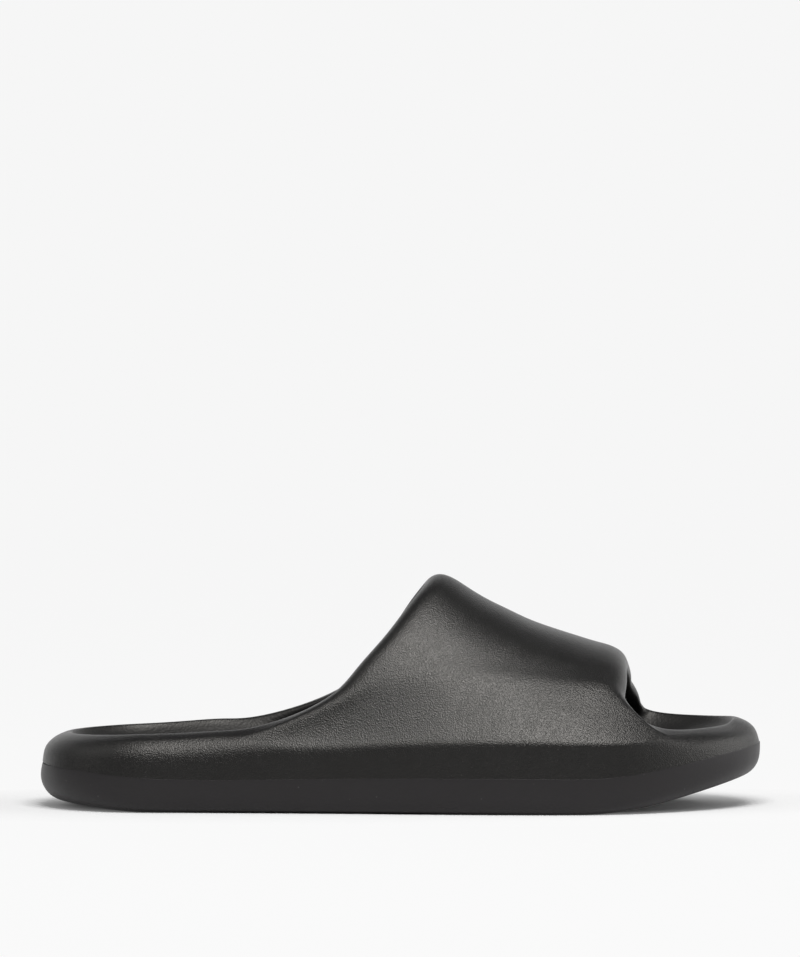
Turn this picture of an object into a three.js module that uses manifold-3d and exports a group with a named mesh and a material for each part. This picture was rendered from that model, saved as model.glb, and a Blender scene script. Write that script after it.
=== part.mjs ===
// Sport slide sandal for the right foot, in moulded foam: a puffy footbed rim and a wide closed strap
// in one piece, and a bottom unit joined to it along a line round the side.
// Millimetres. +X runs from heel to toe, +Y to the inner (medial) side, +Z up. The floor is Z = 0 and
// the origin is the middle of the plan outline's box, on the floor.
import * as THREE from "three";
import { mergeVertices } from "three/addons/utils/BufferGeometryUtils.js";
import Module from "manifold-3d";

// Overall size
const LENGTH = 290;
const BALL_WIDTH = 114;
const HEEL_WIDTH = 89;
const STRAP_HEIGHT = 93;
const HEEL_RIM_HEIGHT = 29.6;
const TOE_RIM_HEIGHT = 34.4;

// Plan outline
const HEEL_ROUND = 44;
const TOE_ROUND = 72;
const INNER_TOE_ROUND = 56;
const TOE_BLUNTNESS = 2.05;

// Walls, footbed and the rolled rim
const STRAP_WALL = 8.6;
const FOOTBED_SLAB = 8;
const FOOTBED_CUP = 1.6;
const RIM_FILLET = 3.6;
const FILLET_RISE = 0.6;
const FILLET_LIMIT = 0.45;
const BED_EDGE = 0.93;
const ROLL_BLUNTNESS = 2.4;
const UNDER_BLUNTNESS = 2.4;

// Strap and rim: the lips, the place of the rim's crest as a share of its roll, the strap's lean in degrees,
// the share of its rise that its straight side takes, and its foot
const LIP_LENGTH = 8.4;
const LIP_OUTER = 6.4;
const LIP_INNER = 2.6;
const LIP_DROP = 2.9;
const CREST_SHARE = 0.84;
const LIP_MIDDLE = 0.3;
const STRAP_LEAN = 29;
const STRAP_ARM = 0.46;
const RIDGE_OFFSET = 4;
const KNUCKLE_RISE = 1.8;
const FLANK_INSET = 0.6;
const WALL_SHARE = 0.64;
const INNER_RISE = 3;

// Joint between the two parts
const BOND_GAP = 0.3;
const BOND_SHELF = 14;

// Tread
const GROOVE_WIDTH = 3;
const GROOVE_DEPTH = 1.8;
const GROOVE_PITCH = 12.5;
const GROOVE_WAVE = 2.2;
const GROOVE_STEPS = 6;
const EDGE_LAND = 10;
const PAD_INSET = 5;
const ARCH_HOLLOW = 1.6;
const WAIST_START = 0.33;
const WAIST_LENGTH = 0.2;

const FOAM_COLOUR = 0x1b1b1c;
const SOLE_COLOUR = 0x171718;

// Stations along each side, with the two tips shared, and the stations where the strap starts and ends
const STATIONS = 24;
const STRAP_REAR_TURN = 0.375;
const STRAP_FRONT_TURN = 0.75;
const STRAP_REAR = Math.round(STATIONS * STRAP_REAR_TURN);
const STRAP_FRONT = Math.round(STATIONS * STRAP_FRONT_TURN);
const FOOTBED_STRIPS = 6;
const BOND_STRIPS = 3;
const TREAD_STRIPS = 4;
const WALL_ROWS = [0.34, 0.66, 0.9, 1];
const CORRECTIONS = 6;

// Plan outline: half width and middle line at each share of the length, before the ends are rounded
const OUTLINE = [
  { along: 0.0, half: HEEL_WIDTH * 0.5, middle: 0 },
  { along: 0.155, half: HEEL_WIDTH * 0.5, middle: HEEL_WIDTH * -0.003 },
  { along: 0.293, half: HEEL_WIDTH * 0.51, middle: HEEL_WIDTH * -0.011 },
  { along: 0.431, half: BALL_WIDTH * 0.418, middle: BALL_WIDTH * -0.019 },
  { along: 0.569, half: BALL_WIDTH * 0.461, middle: BALL_WIDTH * -0.017 },
  { along: 0.672, half: BALL_WIDTH * 0.491, middle: BALL_WIDTH * -0.006 },
  { along: 0.76, half: BALL_WIDTH * 0.499, middle: BALL_WIDTH * 0.005 },
  { along: 0.845, half: BALL_WIDTH * 0.492, middle: BALL_WIDTH * 0.023 },
  { along: 0.931, half: BALL_WIDTH * 0.475, middle: BALL_WIDTH * 0.037 },
  { along: 1.0, half: BALL_WIDTH * 0.46, middle: BALL_WIDTH * 0.044 },
];

// The side, as shares of the heel rim's height: the levels of the bottom, the line round the side, the widest
// place and the footbed, then how far the wall turns under, the rim's roll turns in and its inner wall falls
// back
const SIDE = [
  { along: 0.0, bottom: 0.105, line: 0.59, widest: 0.48, bed: 0.7, under: 0.355, roll: 0.49, fall: 0.28 },
  { along: 0.06, bottom: 0.058, line: 0.547, widest: 0.48, bed: 0.69, under: 0.321, roll: 0.473, fall: 0.28 },
  { along: 0.107, bottom: 0.02, line: 0.5, widest: 0.49, bed: 0.69, under: 0.27, roll: 0.439, fall: 0.27 },
  { along: 0.15, bottom: 0.0, line: 0.468, widest: 0.5, bed: 0.69, under: 0.236, roll: 0.412, fall: 0.27 },
  { along: 0.228, bottom: 0.0, line: 0.446, widest: 0.52, bed: 0.7, under: 0.203, roll: 0.385, fall: 0.26 },
  { along: 0.45, bottom: 0.0, line: 0.475, widest: 0.54, bed: 0.78, under: 0.186, roll: 0.372, fall: 0.17 },
  { along: 0.66, bottom: 0.0, line: 0.487, widest: 0.54, bed: 0.67, under: 0.186, roll: 0.372, fall: 0.165 },
  { along: 0.755, bottom: 0.0, line: 0.481, widest: 0.55, bed: 0.655, under: 0.203, roll: 0.372, fall: 0.18 },
  { along: 0.797, bottom: 0.03, line: 0.505, widest: 0.58, bed: 0.67, under: 0.22, roll: 0.378, fall: 0.19 },
  { along: 0.837, bottom: 0.087, line: 0.566, widest: 0.62, bed: 0.7, under: 0.236, roll: 0.389, fall: 0.205 },
  { along: 0.876, bottom: 0.17, line: 0.622, widest: 0.67, bed: 0.75, under: 0.253, roll: 0.405, fall: 0.22 },
  { along: 0.934, bottom: 0.312, line: 0.745, widest: 0.73, bed: 0.82, under: 0.287, roll: 0.419, fall: 0.24 },
  { along: 1.0, bottom: 0.487, line: 0.85, widest: 0.76, bed: 0.88, under: 0.321, roll: 0.422, fall: 0.27 },
];

// Rim crest behind the strap, as shares of the heel rim's height
const HEEL_RIM = [
  { along: 0.0, lateral: 1.0, medial: 1.0 },
  { along: 0.05, lateral: 1.0, medial: 1.006 },
  { along: 0.159, lateral: 1.05, medial: 1.042 },
  { along: 0.228, lateral: 1.074, medial: 1.088 },
  { along: 0.279, lateral: 1.124, medial: 1.118 },
  { along: 0.338, lateral: 1.22, medial: 1.19 },
];

// Rim crest ahead of the strap, as shares of the toe rim's height
const TOE_RIM = [
  { along: 0.8366, lateral: 1.03, medial: 1.075 },
  { along: 0.845, lateral: 0.99, medial: 1.045 },
  { along: 0.857, lateral: 0.967, medial: 1.004 },
  { along: 0.886, lateral: 0.938, medial: 0.984 },
  { along: 0.91, lateral: 0.948, medial: 0.982 },
  { along: 0.934, lateral: 0.957, medial: 0.99 },
  { along: 0.9445, lateral: 0.972, medial: 1.0 },
  { along: 0.957, lateral: 1.018, medial: 1.018 },
];

// The strap's middle line seen from the side, carried on behind the peak and ahead of the front edge, with
// the lean of its sides as a share of the full lean and how much of its half width is level at the top
const RIDGE = [
  { along: 0.28, height: 1.5, lean: 0.48, flat: 0.34 },
  { along: 0.4, height: 1.245, lean: 0.62, flat: 0.38 },
  { along: 0.5, height: 1.088, lean: 0.75, flat: 0.41 },
  { along: 0.565, height: 0.995, lean: 0.83, flat: 0.42 },
  { along: 0.616, height: 0.899, lean: 0.89, flat: 0.44 },
  { along: 0.65, height: 0.846, lean: 0.93, flat: 0.46 },
  { along: 0.683, height: 0.798, lean: 0.97, flat: 0.48 },
  { along: 0.716, height: 0.762, lean: 0.99, flat: 0.5 },
  { along: 0.75, height: 0.728, lean: 1.0, flat: 0.52 },
  { along: 0.783, height: 0.697, lean: 1.0, flat: 0.54 },
  { along: 0.82, height: 0.663, lean: 1.0, flat: 0.55 },
  { along: 0.87, height: 0.62, lean: 1.0, flat: 0.56 },
];

// The collar edge of the strap seen from the side: share of the strap's height, share of the length at the
// outer side, and how much further forward the inner side runs, as a share of the ball width
const COLLAR_EDGE = [
  { height: 0.36, along: 0.3015, forward: 0.035 },
  { height: 0.42, along: 0.362, forward: 0.044 },
  { height: 0.452, along: 0.3803, forward: 0.048 },
  { height: 0.488, along: 0.3985, forward: 0.048 },
  { height: 0.551, along: 0.4225, forward: 0.048 },
  { height: 0.601, along: 0.4345, forward: 0.046 },
  { height: 0.656, along: 0.4515, forward: 0.042 },
  { height: 0.718, along: 0.4685, forward: 0.037 },
  { height: 0.785, along: 0.4855, forward: 0.03 },
  { height: 0.846, along: 0.5015, forward: 0.021 },
  { height: 0.905, along: 0.5183, forward: 0.0105 },
  { height: 0.968, along: 0.5362, forward: 0 },
  { height: 1.06, along: 0.56, forward: 0 },
];

// The front edge of the strap seen from the side, in the same columns
const FRONT_EDGE = [
  { height: 0.33, along: 0.848, forward: 0.07 },
  { height: 0.355, along: 0.838, forward: 0.1 },
  { height: 0.383, along: 0.8248, forward: 0.113 },
  { height: 0.412, along: 0.8138, forward: 0.1 },
  { height: 0.454, along: 0.8041, forward: 0.09 },
  { height: 0.4935, along: 0.8002, forward: 0.088 },
  { height: 0.546, along: 0.801, forward: 0.084 },
  { height: 0.585, along: 0.8, forward: 0.078 },
  { height: 0.613, along: 0.8005, forward: 0.07 },
  { height: 0.72, along: 0.801, forward: 0.07 },
];

// Where to look for each edge, as shares of the length from the middle
const COLLAR_SEARCH = { lowest: -0.3, highest: 0.12 };
const FRONT_SEARCH = { lowest: 0, highest: 0.42 };
const HALVINGS = 40;

// Rows over the strap from one side to its middle line: where each row meets the collar edge and the front edge
const STRAP_ROWS = [
  { rear: 0.13, front: 0.36 },
  { rear: 0.26, front: 0.5 },
  { rear: 0.41, front: 0.63 },
  { rear: 0.59, front: 0.76 },
  { rear: 0.79, front: 0.88 },
  { rear: 1.0, front: 1.0 },
];

// Tread grooves, by zone, as shares of the length
const TREAD_ZONES = [
  { from: 0.1, to: 0.31 },
  { from: 0.55, to: 0.9 },
];

// A column of a table at a value of its key column, by smooth cubic interpolation, held level past the ends
function lookup(table, key, column, value) {
  const last = table.length - 1;
  if (value <= table[0][key]) return table[0][column];
  if (value >= table[last][key]) return table[last][column];
  let i = 0;
  while (table[i + 1][key] < value) i += 1;
  const step = table[i + 1][key] - table[i][key];
  const slope = (n) => {
    const low = Math.max(n - 1, 0);
    const high = Math.min(n + 1, last);
    return (table[high][column] - table[low][column]) / (table[high][key] - table[low][key]);
  };
  const t = (value - table[i][key]) / step;
  const rise = table[i + 1][column] - table[i][column];
  const bend = slope(i) * step * t * (1 - t) * (1 - t) - slope(i + 1) * step * t * t * (1 - t);
  return table[i][column] + rise * t * t * (3 - 2 * t) + bend;
}

const alongOf = (x) => x / LENGTH + 0.5;
const mix = (a, b, t) => a + (b - a) * t;

// How much of the straight half width is left at a share of the length; the toe is fuller on the inner side
function endRounding(along, side) {
  const fromHeel = (along * LENGTH) / HEEL_ROUND;
  const fromToe = ((1 - along) * LENGTH) / (side < 0 ? TOE_ROUND : INNER_TOE_ROUND);
  const heel = fromHeel < 1 ? Math.sqrt(Math.max(0, 1 - (1 - fromHeel) ** 2)) : 1;
  const rest = 1 - (1 - Math.min(fromToe, 1)) ** TOE_BLUNTNESS;
  return heel * Math.max(0, rest) ** (1 / TOE_BLUNTNESS);
}

// The outline's Y on one side (-1 outer, +1 inner)
function outlineY(along, side) {
  const half = lookup(OUTLINE, "along", "half", along) * endRounding(along, side);
  return lookup(OUTLINE, "along", "middle", along) + side * half;
}

// Puts the outline's box evenly about Y = 0
const SAMPLES = 200;
const samples = Array.from({ length: SAMPLES + 1 }, (_, i) => i / SAMPLES);
const widestOuter = Math.min(...samples.map((along) => outlineY(along, -1)));
const widestInner = Math.max(...samples.map((along) => outlineY(along, 1)));
const CENTRE_Y = (widestOuter + widestInner) / 2;

// A point of the outline and its outward normal; turn runs from 0 at the heel tip to 1 at the toe tip
function station(turn, side) {
  const at = (value) => {
    const along = 0.5 - 0.5 * Math.cos(Math.PI * value);
    return new THREE.Vector3((along - 0.5) * LENGTH, outlineY(along, side) - CENTRE_Y, 0);
  };
  const point = at(turn);
  const normal = new THREE.Vector3(turn < 0.5 ? -1 : 1, 0, 0);
  if (turn > 0 && turn < 1) {
    const nudge = 1e-3;
    const run = at(turn + nudge).sub(at(turn - nudge));
    normal.set(run.y, -run.x, 0).multiplyScalar(-side).normalize();
  }
  return { point, normal, along: alongOf(point.x), side };
}

// A column of the side table, in millimetres
const sideSize = (column, along) => lookup(SIDE, "along", column, along) * HEEL_RIM_HEIGHT;

// The plan point a given distance inside the outline at a station
const inside = (place, inset, z) =>
  new THREE.Vector3(place.point.x - place.normal.x * inset, place.point.y - place.normal.y * inset, z);

// How far in the rim's inner wall meets the footbed
const innerFoot = (place) => sideSize("roll", place.along) + sideSize("fall", place.along);

const sideName = (side) => (side < 0 ? "lateral" : "medial");

// Height of the rim's crest where there is no strap
function crestHeight(place) {
  const along = alongOf(inside(place, sideSize("roll", place.along), 0).x);
  if (along < 0.5) return lookup(HEEL_RIM, "along", sideName(place.side), along) * HEEL_RIM_HEIGHT;
  return lookup(TOE_RIM, "along", sideName(place.side), along) * TOE_RIM_HEIGHT;
}

// Level of the underside's edge, read where the wall has turned under
const bottomEdge = (place) =>
  sideSize("bottom", alongOf(inside(place, sideSize("under", place.along), 0).x));

// The rim's roll is a blunt quarter curve from the widest level to the crest; the strap starts part of the
// way up it
const SHOULDER_ANGLE = 50;
const LIP_ANGLE = 66;
const radians = THREE.MathUtils.degToRad;
const turnIn = (degrees) => 1 - Math.cos(radians(degrees)) ** (2 / ROLL_BLUNTNESS);
const turnUp = (degrees) => Math.sin(radians(degrees)) ** (2 / ROLL_BLUNTNESS);

function rollPoint(place, degrees) {
  const widest = sideSize("widest", place.along);
  const rise = crestHeight(place) - widest;
  return inside(place, sideSize("roll", place.along) * turnIn(degrees), widest + rise * turnUp(degrees));
}

const stationTurn = (index) => index / STATIONS;
const rearTurn = stationTurn(STRAP_REAR);
const frontTurn = stationTurn(STRAP_FRONT);
const xOfTurn = (turn) => -0.5 * LENGTH * Math.cos(Math.PI * turn);

// Height and inset of the shoulder, where the wall turns in to the strap; it rises a little between the ends
function shoulder(x, side) {
  const rear = rollPoint(station(rearTurn, side), SHOULDER_ANGLE).z;
  const front = rollPoint(station(frontTurn, side), SHOULDER_ANGLE).z;
  const share = THREE.MathUtils.clamp((x - xOfTurn(rearTurn)) / (xOfTurn(frontTurn) - xOfTurn(rearTurn)), 0, 1);
  const inset = sideSize("roll", alongOf(x)) * turnIn(SHOULDER_ANGLE);
  const rise = KNUCKLE_RISE * Math.sin(Math.PI * share) ** 2;
  return { height: mix(rear, front, share) + rise, inset };
}

// Outside of the strap, carried on past its edges: across runs from 0 at the outer shoulder over 1 at the
// ridge to 2 at the inner shoulder
function strapOutside(x, across) {
  const side = across <= 1 ? -1 : 1;
  const t = across <= 1 ? across : 2 - across;
  const along = alongOf(x);
  const foot = shoulder(x, side);
  const footY = outlineY(along, side) - CENTRE_Y - side * foot.inset;
  const top = lookup(RIDGE, "along", "height", along) * STRAP_HEIGHT;
  const arm = STRAP_ARM * (top - foot.height);
  const lean = radians(STRAP_LEAN * lookup(RIDGE, "along", "lean", along));
  const flatY = mix(RIDGE_OFFSET, footY, lookup(RIDGE, "along", "flat", along));
  const y = [footY, footY - side * arm * Math.sin(lean), flatY, RIDGE_OFFSET];
  const z = [foot.height, foot.height + arm * Math.cos(lean), top, top];
  const weights = [(1 - t) ** 3, 3 * t * (1 - t) ** 2, 3 * t * t * (1 - t), t ** 3];
  const sum = (list) => list.reduce((total, value, i) => total + value * weights[i], 0);
  return new THREE.Vector3(x, sum(y), sum(z));
}

// Outward normal of the strap's outside
function strapNormal(x, across) {
  const step = 0.02;
  const low = Math.max(across - step, 0);
  const high = Math.min(across + step, 2);
  const over = strapOutside(x, high).sub(strapOutside(x, low));
  const forward = strapOutside(x + 1, across).sub(strapOutside(x - 1, across));
  return forward.cross(over).normalize();
}

const strapInside = (x, across, depth) =>
  strapOutside(x, across).addScaledVector(strapNormal(x, across), -depth);

// X at which the strap's lip follows an edge table, by halving
function edgeX(table, across, search) {
  const ahead = (x) => {
    const edge = strapInside(x, across, LIP_OUTER);
    const share = edge.z / STRAP_HEIGHT;
    const along = lookup(table, "height", "along", share);
    const forward = (lookup(table, "height", "forward", share) * BALL_WIDTH * across) / 2;
    return edge.x - (along - 0.5) * LENGTH - forward;
  };
  let low = search.lowest * LENGTH;
  let high = search.highest * LENGTH;
  for (let i = 0; i < HALVINGS; i += 1) {
    const middle = (low + high) / 2;
    if (ahead(middle) > 0) high = middle;
    else low = middle;
  }
  return (low + high) / 2;
}

// Length of a step in X along the strap's outside, at a constant share across
const xStretch = (x, across) => strapOutside(x + 1, across).distanceTo(strapOutside(x - 1, across)) / 2;

// A mesh under construction: points, polygons that share them, and the edges that stay sharp
function newCage() {
  return { points: [], faces: [], sharp: new Set() };
}

const edgeKey = (a, b) => (a < b ? a + "_" + b : b + "_" + a);

function addPoint(cage, point) {
  cage.points.push(point.clone());
  return cage.points.length - 1;
}

const addRow = (cage, row) => row.map((point) => addPoint(cage, point));

// Quads between two rows of the same length; a closed band also joins the last column to the first
function band(cage, first, second, closed) {
  const count = closed ? first.length : first.length - 1;
  for (let i = 0; i < count; i += 1) {
    const next = (i + 1) % first.length;
    cage.faces.push([first[i], first[next], second[next], second[i]]);
  }
}

function sharpen(cage, loop) {
  loop.forEach((point, i) => cage.sharp.add(edgeKey(point, loop[(i + 1) % loop.length])));
}

// Fills a closed loop of stations with strips across it, at heights given by a function; up says which way
// it faces
function fillLoop(cage, loop, strips, heightOf, up) {
  const put = (...corners) => cage.faces.push(up ? corners : corners.reverse());
  const end = STATIONS;
  let before = null;
  for (let k = 2; k <= end - 2; k += 1) {
    const outer = loop[k];
    const inner = loop[2 * end - k];
    const row = [outer];
    for (let i = 1; i < strips; i += 1) {
      const point = cage.points[outer].clone().lerp(cage.points[inner], i / strips);
      point.z = heightOf(point, (2 * i) / strips - 1);
      row.push(addPoint(cage, point));
    }
    row.push(inner);
    for (let i = 0; before && i < strips; i += 1) put(before[i], row[i], row[i + 1], before[i + 1]);
    if (k === 2) {
      put(loop[0], loop[1], row[0], row[1]);
      for (let i = 1; i < strips - 1; i += 1) put(loop[0], row[i], row[i + 1]);
      put(loop[0], row[strips - 1], row[strips], loop[2 * end - 1]);
    }
    if (k === end - 2) {
      put(row[0], loop[end - 1], loop[end], row[1]);
      for (let i = 1; i < strips - 1; i += 1) put(row[i], loop[end], row[i + 1]);
      put(row[strips - 1], loop[end], loop[end + 1], row[strips]);
    }
    before = row;
  }
}

// Neighbours of each point: faces round it and the edges that meet there
function topology(cage) {
  const faceList = cage.points.map(() => []);
  const edges = new Map();
  cage.faces.forEach((face, f) => {
    face.forEach((a, i) => {
      const b = face[(i + 1) % face.length];
      faceList[a].push(f);
      const key = edgeKey(a, b);
      if (!edges.has(key)) edges.set(key, { ends: [a, b], faces: [] });
      edges.get(key).faces.push(f);
    });
  });
  const edgeList = cage.points.map(() => []);
  edges.forEach((edge, key) => edge.ends.forEach((end) => edgeList[end].push(key)));
  return { faceList, edges, edgeList };
}

const average = (points) =>
  points.reduce((sum, point) => sum.add(point), new THREE.Vector3()).divideScalar(points.length);

const otherEnd = (edge, point) => (edge.ends[0] === point ? edge.ends[1] : edge.ends[0]);

// One round of smooth subdivision: every polygon becomes quads
function subdivide(cage) {
  const { faceList, edges, edgeList } = topology(cage);
  const count = cage.points.length;
  const centres = cage.faces.map((face) => average(face.map((p) => cage.points[p])));
  const middles = new Map();
  const sharp = new Set();
  const edgePoints = [];
  edges.forEach((edge, key) => {
    const ends = edge.ends.map((p) => cage.points[p]);
    const isSharp = cage.sharp.has(key);
    edgePoints.push(isSharp ? average(ends) : average([...ends, ...edge.faces.map((f) => centres[f])]));
    const index = count + edgePoints.length - 1;
    middles.set(key, index);
    if (isSharp) edge.ends.forEach((p) => sharp.add(edgeKey(p, index)));
  });
  const moved = cage.points.map((point, p) => {
    const sharpEnds = edgeList[p].filter((key) => cage.sharp.has(key));
    if (sharpEnds.length === 2) {
      const sides = average(sharpEnds.map((key) => cage.points[otherEnd(edges.get(key), p)]));
      return point.clone().multiplyScalar(0.75).addScaledVector(sides, 0.25);
    }
    const n = faceList[p].length;
    const faceMean = average(faceList[p].map((f) => centres[f]));
    const edgeMean = average(edgeList[p].map((key) => cage.points[otherEnd(edges.get(key), p)].clone()));
    const kept = point.clone().multiplyScalar((n - 2) / n);
    return kept.addScaledVector(faceMean, 1 / n).addScaledVector(edgeMean, 1 / n);
  });
  const firstCentre = count + edgePoints.length;
  const faces = [];
  cage.faces.forEach((face, f) => {
    face.forEach((p, i) => {
      const ahead = middles.get(edgeKey(p, face[(i + 1) % face.length]));
      const behind = middles.get(edgeKey(p, face[(i + face.length - 1) % face.length]));
      faces.push([p, ahead, firstCentre + f, behind]);
    });
  });
  return { points: [...moved, ...edgePoints, ...centres], faces, sharp };
}

// Where each point of an all-quad mesh ends after endless subdivision
function settled(cage) {
  const { faceList, edges, edgeList } = topology(cage);
  return cage.points.map((point, p) => {
    const ends = edgeList[p].map((key) => cage.points[otherEnd(edges.get(key), p)]);
    const sharpEnds = edgeList[p].filter((key) => cage.sharp.has(key));
    if (sharpEnds.length === 2) {
      const sides = average(sharpEnds.map((key) => cage.points[otherEnd(edges.get(key), p)]));
      return point.clone().multiplyScalar(2 / 3).addScaledVector(sides, 1 / 3);
    }
    const n = ends.length;
    const opposite = faceList[p].map((f) => cage.points[cage.faces[f][(cage.faces[f].indexOf(p) + 2) % 4]]);
    const total = point.clone().multiplyScalar(n * n);
    ends.forEach((end) => total.addScaledVector(end, 4));
    opposite.forEach((corner) => total.add(corner));
    return total.divideScalar(n * (n + 5));
  });
}

// Smooth surface through the points of a cage, one subdivision fine
function smoothThrough(cage) {
  const wanted = cage.points.map((point) => point.clone());
  for (let round = 0; round < CORRECTIONS; round += 1) {
    const reached = settled(subdivide(cage));
    cage.points.forEach((point, p) => point.add(wanted[p]).sub(reached[p]));
  }
  const fine = subdivide(cage);
  return { points: settled(fine), faces: fine.faces };
}

// Geometry of a polygon mesh, each quad split along its shorter diagonal
const SPLIT_TOLERANCE = 0.01;

function geometryOf(mesh) {
  const index = [];
  mesh.faces.forEach(([a, b, c, d]) => {
    const [pa, pb, pc, pd] = [a, b, c, d].map((p) => mesh.points[p]);
    if (pa.distanceTo(pc) <= pb.distanceTo(pd) + SPLIT_TOLERANCE) index.push(a, b, c, a, c, d);
    else index.push(b, c, d, b, d, a);
  });
  const geometry = new THREE.BufferGeometry();
  const numbers = mesh.points.flatMap((p) => p.toArray());
  geometry.setAttribute("position", new THREE.Float32BufferAttribute(numbers, 3));
  geometry.setIndex(index);
  return geometry;
}

// Every station round the outline: out along the outer side from the heel tip, and back along the inner side
const places = Array.from({ length: 2 * STATIONS }, (_, m) =>
  m <= STATIONS ? station(stationTurn(m), -1) : station(stationTurn(2 * STATIONS - m), 1),
);
const sideIndex = (m) => (m <= STATIONS ? m : 2 * STATIONS - m);
const underStrap = (m) => sideIndex(m) > STRAP_REAR && sideIndex(m) < STRAP_FRONT;

// Inset of the outer wall at a height, below or above the widest level
function wallInset(place, z) {
  const widest = sideSize("widest", place.along);
  if (z >= widest) {
    const share = Math.min((z - widest) / (crestHeight(place) - widest), 1);
    return sideSize("roll", place.along) * (1 - (1 - share ** ROLL_BLUNTNESS) ** (1 / ROLL_BLUNTNESS));
  }
  const share = Math.min((widest - z) / (widest - bottomEdge(place)), 1);
  return sideSize("under", place.along) * (1 - Math.sqrt(1 - share ** UNDER_BLUNTNESS));
}

// Height of the bond face between the two parts, inside the line round the side
const bondHeight = (along) => sideSize("bed", along) - FOOTBED_SLAB;

function bedHeight(point, across) {
  return sideSize("bed", alongOf(point.x)) - FOOTBED_CUP * (1 - across * across);
}

// The line round the side, and the shelf inside it
const lineRow = (drop) =>
  places.map((place) => {
    const z = sideSize("line", place.along);
    return inside(place, wallInset(place, z), z - drop);
  });
const shelfRow = (drop) =>
  places.map((place) => {
    const shelf = inside(place, BOND_SHELF, 0);
    shelf.z = bondHeight(alongOf(shelf.x)) - drop;
    return shelf;
  });

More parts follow.
